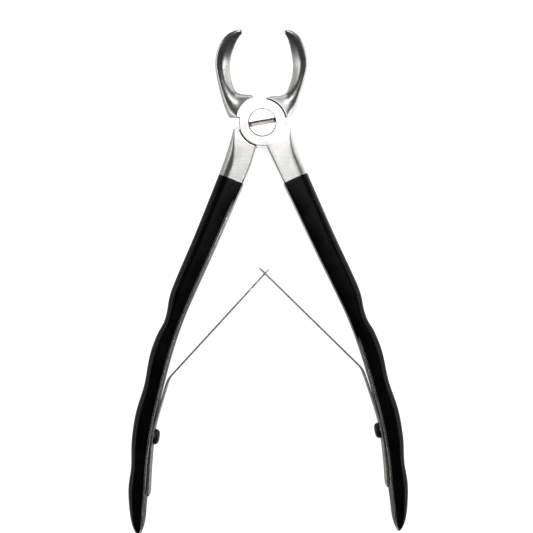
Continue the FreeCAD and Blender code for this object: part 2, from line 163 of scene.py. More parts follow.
SOCKET_RADIUS, SOCKET_DEPTH = 1.0, 0.9

BODY = {"front": "front_lever_body", "rear": "rear_lever_body"}
LEAF = {"front": "slotted_leaf", "rear": "tongue_leaf"}


# ---------------------------------------------------------------- curves and tables

def between(table, at):
    """Straight-line reading of a falling table of (place, value)."""
    for (a, one), (b, two) in zip(table, table[1:]):
        if at >= b:
            share = min(1.0, max(0.0, (a - at) / (a - b)))
            return one + share * (two - one)
    return table[-1][1]


def spline_rows(rows, spacing):
    """The rows of a table run through by a smooth curve and read off again at an even spacing."""
    places = [0.0]
    for a, b in zip(rows, rows[1:]):
        places.append(places[-1] + math.hypot(b[0] - a[0], b[1] - a[1]))
    count = len(rows)
    columns = []
    for values in zip(*rows):
        slopes = []
        for i in range(count):
            low, high = max(i - 1, 0), min(i + 1, count - 1)
            slopes.append((values[high] - values[low]) / (places[high] - places[low]))
        columns.append((values, slopes))
    steps = max(2, round(places[-1] / spacing))
    out = []
    for step in range(steps + 1):
        at = places[-1] * step / steps
        i = max(k for k in range(count - 1) if places[k] <= at + 1e-9)
        span = places[i + 1] - places[i]
        t = (at - places[i]) / span
        h1, h2 = 2 * t ** 3 - 3 * t ** 2 + 1, t ** 3 - 2 * t ** 2 + t
        h3, h4 = -2 * t ** 3 + 3 * t ** 2, t ** 3 - t ** 2
        out.append([
            h1 * v[i] + h2 * span * m[i] + h3 * v[i + 1] + h4 * span * m[i + 1] for v, m in columns
        ])
    return out


def turned(x, y, degrees):
    angle = math.radians(degrees)
    return x * math.cos(angle) - y * math.sin(angle), x * math.sin(angle) + y * math.cos(angle)


# ---------------------------------------------------------------- mesh tools

def piece_from(mesh_builder, name):
    """Turns a bmesh in millimetres into a linked object in metres."""
    mesh = bpy.data.meshes.new(name)
    bmesh.ops.scale(mesh_builder, vec=(MM, MM, MM), verts=mesh_builder.verts)
    mesh_builder.to_mesh(mesh)
    mesh_builder.free()
    thing = bpy.data.objects.new(name, mesh)
    bpy.context.scene.collection.objects.link(thing)
    return thing


def mirror_x(builder):
    bmesh.ops.scale(builder, vec=(-1, 1, 1), verts=builder.verts)
    bmesh.ops.reverse_faces(builder, faces=builder.faces)


def loft(builder, rings, lengths=None):
    """Skins closed rings of equal point counts and closes both ends. Writes a UV in millimetres."""
    uv = builder.loops.layers.uv.verify()
    grid = [[builder.verts.new(p) for p in ring] for ring in rings]
    count = len(rings[0])
    round_at = [0.0]
    for i in range(count):
        round_at.append(round_at[-1] + (rings[0][(i + 1) % count] - rings[0][i]).length)
    along = lengths or list(range(len(rings)))
    for j in range(len(grid) - 1):
        for i in range(count):
            k = (i + 1) % count
            face = builder.faces.new((grid[j][i], grid[j][k], grid[j + 1][k], grid[j + 1][i]))
            spots = [(round_at[i], along[j]), (round_at[i + 1], along[j]),
                     (round_at[i + 1], along[j + 1]), (round_at[i], along[j + 1])]
            for loop, spot in zip(face.loops, spots):
                loop[uv].uv = spot
    for ring, flip in ((grid[0], True), (grid[-1], False)):
        centre = builder.verts.new(sum((v.co for v in ring), Vector()) / count)
        for i in range(count):
            a, b = ring[i], ring[(i + 1) % count]
            builder.faces.new((b, a, centre) if flip else (a, b, centre))
    bmesh.ops.recalc_face_normals(builder, faces=builder.faces)


def prism(builder, outline, bottom, top):
    low = [builder.verts.new((x, y, bottom)) for x, y in outline]
    high = [builder.verts.new((x, y, top)) for x, y in outline]
    builder.faces.new(low[::-1])
    builder.faces.new(high)
    for i in range(len(outline)):
        k = (i + 1) % len(outline)
        builder.faces.new((low[i], low[k], high[k], high[i]))
    bmesh.ops.recalc_face_normals(builder, faces=builder.faces)


def circle(radius, count=160):
    return [(radius * math.cos(2 * math.pi * i / count), radius * math.sin(2 * math.pi * i / count))
            for i in range(count)]


def lathe(builder, profile, count=96):
    """Spins a profile of (radius, height) about Z. Both ends of the profile are on the axis."""
    rings = []
    for radius, height in profile[1:-1]:
        rings.append([builder.verts.new((x, y, height)) for x, y in circle(radius, count)])
    bottom = builder.verts.new((0, 0, profile[0][1]))
    top = builder.verts.new((0, 0, profile[-1][1]))
    for a, b in zip(rings, rings[1:]):
        for i in range(count):
            k = (i + 1) % count
            builder.faces.new((a[i], a[k], b[k], b[i]))
    for i in range(count):
        k = (i + 1) % count
        builder.faces.new((bottom, rings[0][k], rings[0][i]))
        builder.faces.new((top, rings[-1][i], rings[-1][k]))
    bmesh.ops.recalc_face_normals(builder, faces=builder.faces)


def apply_modifiers(thing):
    bpy.context.view_layer.update()
    shaped = bpy.data.meshes.new_from_object(thing.evaluated_get(bpy.context.evaluated_depsgraph_get()))
    thing.modifiers.clear()
    old = thing.data
    shaped.name = old.name
    thing.data = shaped
    bpy.data.meshes.remove(old)


def remeshed(thing, voxel):
    step = thing.modifiers.new("merge", "REMESH")
    step.mode = "VOXEL"
    step.voxel_size = voxel * MM
    step.use_smooth_shade = True
    apply_modifiers(thing)


def relaxed(thing, rounds, where=None):
    """Smooths a mesh, all over or by as much as where(x, y) in millimetres says."""
    step = thing.modifiers.new("relax", "SMOOTH")
    step.factor = 0.5
    step.iterations = rounds
    if where is not None:
        group = thing.vertex_groups.new(name="relax")
        for vertex in thing.data.vertices:
            share = where(vertex.co.x / MM, vertex.co.y / MM)
            if share > 0:
                group.add([vertex.index], share, "REPLACE")
        step.vertex_group = "relax"
    apply_modifiers(thing)
    thing.vertex_groups.clear()


def cut_with(thing, cutter, operation="DIFFERENCE"):
    step = thing.modifiers.new("cut", "BOOLEAN")
    step.operation = operation
    step.solver = "EXACT"
    step.object = cutter
    apply_modifiers(thing)
    bpy.data.objects.remove(cutter)


def machined(thing, outline, bottom, top, operation="DIFFERENCE"):
    """Cuts a straight-sided prism out of a piece, or joins one to it."""
    cutter = bmesh.new()
    prism(cutter, outline, bottom, top)
    cut_with(thing, piece_from(cutter, "cutter"), operation)


def thinned(thing, most_faces):
    """Brings a mesh down to a number of triangles."""
    triangles = sum(len(p.vertices) - 2 for p in thing.data.polygons)
    if triangles > most_faces:
        step = thing.modifiers.new("thin", "DECIMATE")
        step.ratio = most_faces / triangles
        apply_modifiers(thing)


def shade(thing, crease):
    """Smooth shading with sharp edges where the surface turns by more than the crease angle."""
    builder = bmesh.new()
    builder.from_mesh(thing.data)
    for edge in builder.edges:
        edge.smooth = edge.is_manifold and edge.calc_face_angle(0) < math.radians(crease)
    for face in builder.faces:
        face.smooth = True
    builder.to_mesh(thing.data)
    builder.free()
    step = thing.modifiers.new("even", "WEIGHTED_NORMAL")
    step.mode = "FACE_AREA"
    step.weight = 90
    step.keep_sharp = True
    apply_modifiers(thing)


# ---------------------------------------------------------------- handles

def handle_rows(side, spacing):
    turn = HANDLE_TURN[side]
    rows = SHANK_START[side] + [turned(row[0], row[1], turn) + row[2:] for row in HANDLE]
    return spline_rows(rows, spacing)


def handle_frames(side, spacing=HANDLE_SPACING):
    """Rows along a handle with their middle, outward direction and heading."""
    rows = handle_rows(side, spacing)
    frames = []
    for i, row in enumerate(rows):
        ahead, behind = rows[min(i + 1, len(rows) - 1)], rows[max(i - 1, 0)]
        heading = Vector((ahead[0] - behind[0], ahead[1] - behind[1], 0)).normalized()
        outward = Vector((-heading.y, heading.x, 0))
        frames.append((Vector((row[0], row[1], 0)), outward, heading, row[2], row[3], row[4]))
    return frames


def handle_ring(station, inset=0.0, crown=0.0, chamfer=0.6):
    """D section: flat inner side with chamfers, slightly crowned front and back, rounded outer side."""
    middle, outward, _, width, rounded, pull = station
    depth = between(HANDLE_DEPTHS, middle.y)
    inner, outer = -width / 2 + inset, width / 2 - inset
    low, high = pull + inset, depth - pull - inset
    cut = min(chamfer, (outer - inner) / 4, (high - low) / 4)
    deep = cut * 0.9
    flat_end = outer - rounded * (outer - inner)
    waist, half = (low + high) / 2, (high - low) / 2
    soft = cut * 0.18
    upper = [(inner, half - deep - crown - soft), (inner + soft * 0.3, half - deep - crown)]
    upper += [(inner + cut * t, half - deep * (1 - t) - crown) for t in (0.25, 0.5, 0.75)]
    upper += [(inner + cut, half - crown - soft * 0.3)]
    face = flat_end - inner - cut
    for k in range(1, 9):
        t = k / 8
        upper.append((inner + cut + face * t, half - crown * (1 - t) ** 2))
    for k in range(1, 15):
        a = math.pi / 2 * k / 14
        upper.append((flat_end + (outer - flat_end) * math.sin(a), half * math.cos(a)))
    ring = upper + [(x, -z) for x, z in reversed(upper[:-1])]
    return [middle + outward * x + Vector((0, 0, waist + z)) for x, z in ring]


def steel_end(side):
    """A point on the line where the coating starts, and the handle's heading there."""
    point = Vector((*turned(*STEEL_ENDS, HANDLE_TURN[side]), 0))
    angle = math.radians(STEEL_END_LEAN + HANDLE_TURN[side])
    return point, Vector((math.sin(angle), -math.cos(angle), 0))


def distance_past_steel(side, spot):
    point, heading = steel_end(side)
    return (spot - point).dot(heading)


def travelled(frames):
    out = [0.0]
    for a, b in zip(frames, frames[1:]):
        out.append(out[-1] + (b[0] - a[0]).length)
    return out


def coating(side):
    """The black coating: a skin over the handle with a rolled front edge."""
    frames = [f for f in handle_frames(side) if distance_past_steel(side, f[0]) > 0.25]
    lead = frames[0]
    entry = []
    for back, inset in ((0.0, 0.32), (0.03, 0.12), (0.12, 0.03)):
        middle = lead[0] - lead[2] * (distance_past_steel(side, lead[0]) - back)
        entry.append(((middle,) + lead[1:], inset))
    stations = entry + [(f, 0.0) for f in frames]
    rings = []
    for f, inset in stations:
        settled = min(1.0, max(0.0, distance_past_steel(side, f[0]) / 12.0))
        crown = 0.3 * settled * min(1.0, f[3] / 6.0)
        rings.append(handle_ring(f, inset, crown, 0.2 + 0.35 * settled))
    builder = bmesh.new()
    loft(builder, rings, travelled([s[0] for s in stations]))
    if side == "rear":
        mirror_x(builder)
    thing = piece_from(builder, side + "_handle_coating_skin")
    shade(thing, 24)
    return thing


# ---------------------------------------------------------------- levers

def beak_height(y):
    """The beaks bend forwards on an arc."""
    along = max(0.0, y - BEAK_BEND_START)
    return MID_PLANE + BEAK_BEND_RADIUS - math.sqrt(BEAK_BEND_RADIUS ** 2 - along ** 2)


# share of half the width (outer side negative), share of half the depth
BEAK_OUTLINE = [
    (-1.0, 0.0), (-1.0, 0.35), (-0.98, 0.60), (-0.92, 0.78), (-0.80, 0.90), (-0.62, 0.97), (-0.40, 1.0),
    (-0.18, 0.97), (0.0, 0.88), (0.17, 0.74), (0.35, 0.58), (0.53, 0.42), (0.71, 0.26), (0.87, 0.11),
    (1.0, 0.0),
]
ROOT_OUTLINE = [
    (-1.0, 0.0), (-1.0, 0.22), (-0.97, 0.40), (-0.90, 0.54), (-0.76, 0.66), (-0.55, 0.76), (-0.28, 0.85),
    (0.0, 0.91), (0.22, 0.94), (0.42, 0.95), (0.62, 0.93), (0.80, 0.85), (0.92, 0.65), (0.98, 0.35),
    (1.0, 0.0),
]
ROOT_BLEND = (6.0, 14.0)   # the section goes from the root's to the beak's between these places in Y


def beak_ring(middle, heading, width, depth):
    across = Vector((heading.y, -heading.x, 0)).normalized()
    up = across.cross(heading).normalized()
    if up.z < 0:
        up = -up
    start, end = ROOT_BLEND
    share = min(1.0, max(0.0, (middle.y - start) / (end - start)))
    upper = [(a + share * (c - a), b + share * (d - b))
             for (a, b), (c, d) in zip(ROOT_OUTLINE, BEAK_OUTLINE)]
    outline = upper + [(a, -b) for a, b in reversed(upper[1:-1])]
    return [middle + across * (a * width / 2) + up * (b * depth / 2) for a, b in outline]


def beak(builder, side):
    rows = spline_rows(BEAK[side], 0.5)
    middles = [Vector((x, y, beak_height(y))) for x, y, width, depth in rows]
    rings = []
    for i, (x, y, width, depth) in enumerate(rows):
        heading = (middles[min(i + 1, len(rows) - 1)] - middles[max(i - 1, 0)]).normalized()
        rings.append(beak_ring(middles[i], heading, width, depth))
    loft(builder, rings)


def add_loose(builder, maker, *values):
    """Builds a closed shell on its own and adds it to a builder."""
    part = bmesh.new()
    maker(part, *values)
    mesh = bpy.data.meshes.new("shell")
    part.to_mesh(mesh)
    part.free()
    builder.from_mesh(mesh)
    bpy.data.meshes.remove(mesh)


def shank_loft(builder, side):
    frames = [f for f in handle_frames(side) if distance_past_steel(side, f[0]) < 1.5]
    loft(builder, [handle_ring(f, chamfer=0.2) for f in frames])


def core_loft(builder, side):
    """The steel inside the coating, up to where the handle's end closes in."""
    frames = [f for f in handle_frames(side, COARSE_SPACING)
              if distance_past_steel(side, f[0]) > 0.05 and f[5] < 0.3]
    loft(builder, [handle_ring(f, COAT + 0.05) for f in frames])


def fall_away(thing, side):
    """Lets the web's faces fall away from the flat round the joint, towards the beak."""
    land = LAND_RADIUS[side]
    for vertex in thing.data.vertices:
        x, y, z = (c / MM for c in vertex.co)
        past = math.hypot(x, y) - land
        if y < 0.5 or x > 0 or past <= 0:
            continue
        drop = past * (WEB_SLOPE + WEB_CURVE * past)
        off = z - MID_PLANE
        if abs(off) > WEB_CORE:
            share = min(1.0, (abs(off) - WEB_CORE) / WEB_SKIN)
            vertex.co.z -= math.copysign(drop * share, off) * MM


def root_share(side, x, y):
    """How much a place is smoothed: most in the hollow between the ground flat and the beak."""
    past = math.hypot(x, y) - LAND_RADIUS[side]
    if y < 0.6 or x > 1 or past <= 0:
        return 0.0
    faded = min(1.0, max(ROOT_SMOOTH_LEAST, (ROOT_SMOOTH_END - y) / ROOT_SMOOTH_FADE))
    return min(1.0, past / ROOT_EDGE) * faded


def root_waste():
    """What comes off under a web, so that its lower end slants up towards the back."""
    front_y, back_y = ROOT_SLANT
    slope = (front_y - back_y) / JOINT_DEPTH
    builder = bmesh.new()
    over = 5.0
    outline = [(back_y - over * slope, -over), (front_y + over * slope, JOINT_DEPTH + over),
               (-8.0, JOINT_DEPTH + over), (-8.0, -over)]
    rings = [[Vector((x, y, z)) for y, z in outline] for x in (-22.0, -7.0)]
    loft(builder, rings)
    return piece_from(builder, "root_waste")


def lever(side):
    """Forged, ground flat on both faces, then machined for the joint and deburred."""
    builder = bmesh.new()
    add_loose(builder, prism, WEB[side], 0.0, JOINT_DEPTH)
    add_loose(builder, prism, circle(DISC_RADIUS), 0.0, JOINT_DEPTH)
    thing = piece_from(builder, side + "_lever_steel")
    remeshed(thing, WEB_VOXEL)
    fall_away(thing, side)
    builder = bmesh.new()
    builder.from_mesh(thing.data)
    bmesh.ops.scale(builder, vec=(1 / MM, 1 / MM, 1 / MM), verts=builder.verts)
    add_loose(builder, beak, side)
    bmesh.ops.scale(builder, vec=(MM, MM, MM), verts=builder.verts)
    builder.to_mesh(thing.data)
    builder.free()
    remeshed(thing, WEB_VOXEL)
    relaxed(thing, ROOT_ROUNDS, lambda x, y: root_share(side, x, y))
    cut_with(thing, root_waste())

    shank = bmesh.new()
    add_loose(shank, prism, SHANK[side], 0.0, JOINT_DEPTH)
    add_loose(shank, shank_loft, side)
    blank = piece_from(shank, "shank")
    remeshed(blank, SHANK_VOXEL)
    cut_with(thing, blank, "UNION")

    low_face, high_face = MID_PLANE - FACE_GAP, MID_PLANE + FACE_GAP
    if side == "front":
        machined(thing, circle(POCKET_RADIUS), BELOW_ALL, high_face)
        machined(thing, circle(DISC_RADIUS), high_face, JOINT_DEPTH, "UNION")
    else:
        machined(thing, circle(POCKET_RADIUS), low_face, ABOVE_ALL)
        machined(thing, circle(DISC_RADIUS), 0.0, low_face, "UNION")
    remeshed(thing, LEVER_VOXEL)
    relaxed(thing, 2)
    machined(thing, circle(SCREW_HOLE_RADIUS), BELOW_ALL, ABOVE_ALL)
    if side == "front":
        machined(thing, circle(HEAD_SEAT_RADIUS), HEAD_SEAT_FLOOR, ABOVE_ALL)

    end = bmesh.new()
    end.from_mesh(thing.data)
    point, heading = steel_end(side)
    bmesh.ops.bisect_plane(
        end, geom=end.verts[:] + end.edges[:] + end.faces[:],
        plane_co=(point + heading * 0.02) * MM, plane_no=heading, clear_outer=True)
    bmesh.ops.holes_fill(end, edges=[e for e in end.edges if e.is_boundary])
    core = bmesh.new()
    core_loft(core, side)
    bmesh.ops.scale(core, vec=(MM, MM, MM), verts=core.verts)
    mesh = bpy.data.meshes.new("core")
    core.to_mesh(mesh)
    core.free()
    end.from_mesh(mesh)
    bpy.data.meshes.remove(mesh)
    if side == "rear":
        mirror_x(end)
    end.to_mesh(thing.data)
    end.free()
    thinned(thing, LEVER_FACES)
    shade(thing, 40)
    return thing


# ---------------------------------------------------------------- screws

def pivot_screw():
    """Slotted flat head with a broken edge. Its foot is riveted flush."""
    builder = bmesh.new()
    lathe(builder, PIVOT_PROFILE, 128)
    thing = piece_from(builder, "pivot_screw_turned")
    slot = bmesh.new()
    prism(slot, PIVOT_SLOT, -PIVOT_SLOT_HALF, PIVOT_SLOT_HALF)
    for angle, axis in ((90.0, "X"), (PIVOT_SLOT_TURN, "Z")):
        bmesh.ops.rotate(slot, matrix=Matrix.Rotation(math.radians(angle), 3, axis), verts=slot.verts)
    cut_with(thing, piece_from(slot, "slot"))
    remeshed(thing, SCREW_VOXEL)
    relaxed(thing, 2)
    shade(thing, 50)
    return thing


def leaf_line(side):
    """Points a leaf runs through beside the handle, from its bend to its tail, and the ways out."""
    frames = handle_frames(side, LEAF_SPACING)
    path = []
    top = LEAF_BEND_Y[side]
    for share, gap in LEAF_GAPS:
        y = top + share * (LEAF_TAIL_Y[side] - top)
        path.append(beside(frames, y, gap + LEAF_THICKNESS / 2))
    foot, away = spring_screw_foot(side)
    along = Vector((away.y, -away.x, 0))
    if along.y > 0:
        along = -along
    centre = foot - away * (LEAF_THICKNESS / 2 + HEAD_GAP)
    seat = [(centre + along * step, away) for step in (-SCREW_SEAT, 0.0, SCREW_SEAT)]
    return path[:2] + seat + path[2:]


def beside(frames, y, gap):
    """The point at a gap off the handle's inner side, and the way out from the handle."""
    near = min(frames, key=lambda f: abs(f[0].y - y))
    away = -near[1]
    return near[0] + away * (near[3] / 2 + gap), away


def spring_screw_foot(side):
    """Where the screw's head sits on the leaf, and the way the head points."""
    y = turned(40.0, SPRING_SCREW_Y[side], HANDLE_TURN[side])[1]
    return beside(handle_frames(side, LEAF_SPACING), y, LEAF_THICKNESS + SEAT_GAP + HEAD_GAP)


def spring_screw(side):
    """Black button head with a hexagon socket, laid on its leaf."""
    foot, away = spring_screw_foot(side)
    foot = foot + Vector((0, 0, (LEAF_BOTTOM + LEAF_TOP) / 2))
    dome = []
    for k in range(13):
        a = math.pi / 2 * k / 12
        dome.append((BUTTON_RIM * math.cos(a) * 0.45 + BUTTON_RIM * 0.55,
                     BUTTON_EDGE + (BUTTON_HEIGHT - BUTTON_EDGE) * math.sin(a)))
    shaft = [(0, -BUTTON_SHAFT_LENGTH), (BUTTON_SHAFT_RADIUS, -BUTTON_SHAFT_LENGTH), (BUTTON_SHAFT_RADIUS, 0)]
    rim = [(BUTTON_RIM - 0.1, 0), (BUTTON_RIM, 0.1)]
    builder = bmesh.new()
    lathe(builder, shaft + rim + dome + [(0, BUTTON_HEIGHT)], 72)
    thing = piece_from(builder, LEAF[side] + "_button_screw")
    machined(thing, circle(SOCKET_RADIUS, 6), BUTTON_HEIGHT - SOCKET_DEPTH, BUTTON_HEIGHT + 1)
    spin = Vector((0, 0, 1)).rotation_difference(away).to_matrix().to_4x4()
    thing.data.transform(Matrix.Translation(foot * MM) @ spin)
    if side == "rear":
        thing.data.transform(Matrix.Scale(-1, 4, Vector((1, 0, 0))))
        thing.data.flip_normals()
    shade(thing, 30)
    return thing


# ---------------------------------------------------------------- leaf springs

def leaf_centre_line(side):
    """The leaf's middle line from tail to tip with its bend rounded, the bend, and the arm's direction."""
    stations = [p for p, _ in leaf_line(side)][::-1]
    rows = spline_rows([(p.x, p.y) for p in stations], HANDLE_SPACING)
    base = [Vector((x, y, 0)) for x, y in rows]
    bend = base[-1]
    angle = math.radians(ARM_ANGLE[side])
    arm = Vector((-math.sin(angle), math.cos(angle), 0))
    radius = LEAF_BEND_RADIUS
    while (base[-1] - bend).length < radius:
        base.pop()
    start, finish = base[-1], bend + arm * radius
    line = base[:]
    for k in range(1, 9):
        t = k / 9
        line.append(start * (1 - t) ** 2 + bend * 2 * t * (1 - t) + finish * t * t)
    length = ARM_LENGTH[side]
    steps = round((length - radius) / ARM_SPACING)
    line += [bend + arm * (radius + (length - radius) * k / steps) for k in range(steps + 1)]
    return line, bend, arm


def tip_rounding(tip, radius):
    """How far a rounded corner pulls in the leaf's edge at a distance from its tip."""
    if tip >= radius:
        return 0.0
    return radius - math.sqrt(max(0.0, radius ** 2 - (radius - tip) ** 2))


def leaf_width(side, past):
    """Half width of the leaf and half width of its slot, at a distance past the bend."""
    half = (LEAF_TOP - LEAF_BOTTOM) / 2
    tip = ARM_LENGTH[side] - past
    if side == "front":
        start, finish, width = SLOT
        middle, reach = (start + finish) / 2, (finish - start) / 2
        off = abs(past - middle)
        open_half = 0.0
        if off < reach:
            corner = min(1.0, (reach - off) / SLOT_CORNER)
            open_half = width / 2 * math.sqrt(max(0.0, 1 - (1 - corner) ** 2))
        return half - tip_rounding(tip, SLOTTED_TIP_RADIUS), open_half
    start, finish, width = TONGUE
    share = min(1.0, max(0.0, (past - start) / (finish - start)))
    share = share * share * (3 - 2 * share)
    half += (width / 2 - half) * share
    return half - tip_rounding(tip, TONGUE_TIP_RADIUS), 0.0


def leaf_spring(side):
    """One strip from tail to tip, bent at the top of its clamped stretch."""
    line, bend, arm = leaf_centre_line(side)
    middle = (LEAF_BOTTOM + LEAF_TOP) / 2
    builder = bmesh.new()
    uv = builder.loops.layers.uv.verify()
    half_thick = LEAF_THICKNESS / 2
    sections = []
    lengths = [0.0]
    for i, spot in enumerate(line):
        ahead, behind = line[min(i + 1, len(line) - 1)], line[max(i - 1, 0)]
        heading = (ahead - behind).normalized()
        normal = Vector((-heading.y, heading.x, 0))
        if i:
            lengths.append(lengths[-1] + (spot - line[i - 1]).length)
        past = (spot - bend).dot(arm)
        half, open_half = leaf_width(side, past) if past > 0 else ((LEAF_TOP - LEAF_BOTTOM) / 2, 0.0)
        if i == 0:
            half -= 0.35
        sections.append((spot, normal, half, open_half))
    strips = []
    for sign in (1, -1):
        strip = []
        for spot, normal, half, open_half in sections:
            corners = [
                (-half_thick + LEAF_EDGE, half), (-half_thick, half - LEAF_EDGE), (-half_thick, open_half),
                (half_thick, open_half), (half_thick, half - LEAF_EDGE), (half_thick - LEAF_EDGE, half),
            ]
            strip.append([builder.verts.new(spot + normal * x + Vector((0, 0, middle + sign * z)))
                          for x, z in corners])
        strips.append((sign, strip))
    for sign, strip in strips:
        for j in range(len(strip) - 1):
            open_here = sections[j][3] > 0 or sections[j + 1][3] > 0
            for i in range(6):
                if i == 2 and not open_here:
                    continue
                k = (i + 1) % 6
                corners = [strip[j][i], strip[j][k], strip[j + 1][k], strip[j + 1][i]]
                face = builder.faces.new(corners[::sign])
                for loop in face.loops:
                    row = j if loop.vert in strip[j] else j + 1
                    column = strip[row].index(loop.vert)
                    loop[uv].uv = (lengths[row], sign * LEAF_EDGE_UV[column] + (0 if column < 3 else 9))
        for j in (0, len(strip) - 1):
            builder.faces.new(strip[j])
    bmesh.ops.remove_doubles(builder, verts=builder.verts, dist=0.004)
    bmesh.ops.dissolve_degenerate(builder, dist=0.003, edges=builder.edges)
    bmesh.ops.recalc_face_normals(builder, faces=builder.faces)
    if side == "rear":
        mirror_x(builder)
        bend, arm = Vector((-bend.x, bend.y, 0)), Vector((-arm.x, arm.y, 0))
    thing = piece_from(builder, LEAF[side] + "_strip")
    shade(thing, 35)
    return thing, bend, arm


# ---------------------------------------------------------------- shader groups

def new_group(name, inputs, outputs):
    """A shader node group with named sockets. Inputs are (name, kind, default), outputs (name, kind)."""
    group = bpy.data.node_groups.new(name, "ShaderNodeTree")
    for label, kind, default in inputs:
        socket = group.interface.new_socket(label, in_out="INPUT", socket_type="NodeSocket" + kind)
        if default is not None:
            socket.default_value = default
    for label, kind in outputs:
        group.interface.new_socket(label, in_out="OUTPUT", socket_type="NodeSocket" + kind)
    return group, group.nodes.new("NodeGroupInput"), group.nodes.new("NodeGroupOutput")


def add(tree, kind, **values):
    """Adds a node. Keys that are sockets set the socket, and others set the node's own property."""
    node = tree.nodes.new(kind)
    for key, value in values.items():
        label = key.replace("_", " ")
        if label in node.inputs:
            node.inputs[label].default_value = value
        else:
            setattr(node, key, value)
    return node


def join(tree, one, other):
    tree.links.new(one, other)


def scaled(tree, vector, sizes):
    node = add(tree, "ShaderNodeMapping", vector_type="POINT")
    node.inputs["Scale"].default_value = sizes
    join(tree, vector, node.inputs["Vector"])
    return node.outputs["Vector"]


def value_range(tree, value, low, high, to_low=0.0, to_high=1.0):
    node = add(tree, "ShaderNodeMapRange")
    node.inputs["From Min"].default_value = low
    node.inputs["From Max"].default_value = high
    node.inputs["To Min"].default_value = to_low
    node.inputs["To Max"].default_value = to_high
    join(tree, value, node.inputs["Value"])
    return node.outputs["Result"]


def arithmetic(tree, operation, one, other):
    node = add(tree, "ShaderNodeMath", operation=operation)
    for i, source in enumerate((one, other)):
        if isinstance(source, (int, float)):
            node.inputs[i].default_value = source
        else:
            join(tree, source, node.inputs[i])
    return node.outputs[0]


def build_brushing():
    """Fine lines left by a belt or brush: long in one direction, close together in the other."""
    group, into, out = new_group(
        "brushed lines",
        [("Vector", "Vector", None), ("Lines per mm", "Float", 6.0), ("Stretch", "Float", 14.0)],
        [("Height", "Float"), ("Streaks", "Float")])
    split = add(group, "ShaderNodeSeparateXYZ")
    join(group, into.outputs["Vector"], split.inputs["Vector"])
    dense = arithmetic(group, "MULTIPLY", into.outputs["Lines per mm"], 1000.0)
    sparse = arithmetic(group, "DIVIDE", dense, into.outputs["Stretch"])
    across = add(group, "ShaderNodeCombineXYZ")
    join(group, arithmetic(group, "MULTIPLY", split.outputs["X"], sparse), across.inputs["X"])
    join(group, arithmetic(group, "MULTIPLY", split.outputs["Y"], dense), across.inputs["Y"])
    join(group, arithmetic(group, "MULTIPLY", split.outputs["Z"], dense), across.inputs["Z"])
    fine = add(group, "ShaderNodeTexNoise", Scale=1.0, Detail=3.0, Roughness=0.62)
    join(group, across.outputs["Vector"], fine.inputs["Vector"])
    broad = add(group, "ShaderNodeTexNoise", Scale=0.23, Detail=2.0, Roughness=0.5)
    join(group, across.outputs["Vector"], broad.inputs["Vector"])
    join(group, fine.outputs["Fac"], out.inputs["Height"])
    mixed = arithmetic(group, "ADD", arithmetic(group, "MULTIPLY", fine.outputs["Fac"], 0.55),
                       arithmetic(group, "MULTIPLY", broad.outputs["Fac"], 0.45))
    join(group, value_range(group, mixed, 0.36, 0.64), out.inputs["Streaks"])
    return group


def build_handling():
    """Soft smudges and a few scattered specks, from handling and sterilising."""
    group, into, out = new_group(
        "handling marks",
        [("Vector", "Vector", None), ("Smudge size mm", "Float", 7.0), ("Speck size mm", "Float", 0.5)],
        [("Smudges", "Float"), ("Specks", "Float")])
    smudge = add(group, "ShaderNodeTexNoise", Detail=4.0, Roughness=0.6, Distortion=0.4)
    join(group, arithmetic(group, "DIVIDE", 1000.0, into.outputs["Smudge size mm"]), smudge.inputs["Scale"])
    join(group, into.outputs["Vector"], smudge.inputs["Vector"])
    speck = add(group, "ShaderNodeTexVoronoi", feature="F1")
    join(group, arithmetic(group, "DIVIDE", 1000.0, into.outputs["Speck size mm"]), speck.inputs["Scale"])
    join(group, into.outputs["Vector"], speck.inputs["Vector"])
    join(group, value_range(group, smudge.outputs["Fac"], 0.38, 0.66), out.inputs["Smudges"])
    join(group, value_range(group, speck.outputs["Distance"], 0.16, 0.06), out.inputs["Specks"])
    return group


def build_edge_wear_and_hollow_shade():
    """Where an edge stands proud it is rubbed; where a corner is hollow it is darkened as painted shade."""
    group, into, out = new_group(
        "edge wear and hollow shade",
        [("Vector", "Vector", None), ("Sharpness", "Float", 1.0)],
        [("Wear and painted highlight", "Float"), ("Painted hollow shade", "Float")])
    shape = add(group, "ShaderNodeNewGeometry")
    broken = add(group, "ShaderNodeTexNoise", Scale=900.0, Detail=3.0)
    join(group, into.outputs["Vector"], broken.inputs["Vector"])
    lift = arithmetic(group, "MULTIPLY", value_range(group, broken.outputs["Fac"], 0.3, 0.7, -0.03, 0.03),
                      into.outputs["Sharpness"])
    point = arithmetic(group, "ADD", shape.outputs["Pointiness"], lift)
    join(group, value_range(group, point, 0.53, 0.62), out.inputs["Wear and painted highlight"])
    # Painted shade: concave places, such as corners and recesses, are marked to be darkened.
    join(group, value_range(group, shape.outputs["Pointiness"], 0.47, 0.40), out.inputs["Painted hollow shade"])
    return group


def build_painted_chamfer_highlight():
    """A painted highlight: a bright, patchy line along a chamfer. The vector is the handle's own unrolled
    millimetres.
    """
    group, into, out = new_group(
        "painted chamfer highlight",
        [("Vector", "Vector", None), ("Starts at mm", "Float", 10.0), ("Width mm", "Float", 0.75)],
        [("Wear and painted highlight", "Float")])
    split = add(group, "ShaderNodeSeparateXYZ")
    join(group, into.outputs["Vector"], split.inputs["Vector"])
    across = split.outputs["X"]
    lower = value_range(group, across, 0.05, 0.15)
    room = arithmetic(group, "SUBTRACT", into.outputs["Width mm"], across)
    upper = value_range(group, room, -0.05, 0.1)
    past = arithmetic(group, "SUBTRACT", split.outputs["Y"], into.outputs["Starts at mm"])
    begun = value_range(group, past, 0.0, 6.0)
    patchy = add(group, "ShaderNodeTexNoise", Scale=0.35, Detail=3.0)
    join(group, into.outputs["Vector"], patchy.inputs["Vector"])
    patchy_strength = value_range(group, patchy.outputs["Fac"], 0.30, 0.55, 0.55, 1.0)
    mask = arithmetic(group, "MULTIPLY", arithmetic(group, "MULTIPLY", lower, upper),
                      arithmetic(group, "MULTIPLY", begun, patchy_strength))
    join(group, mask, out.inputs["Wear and painted highlight"])
    return group


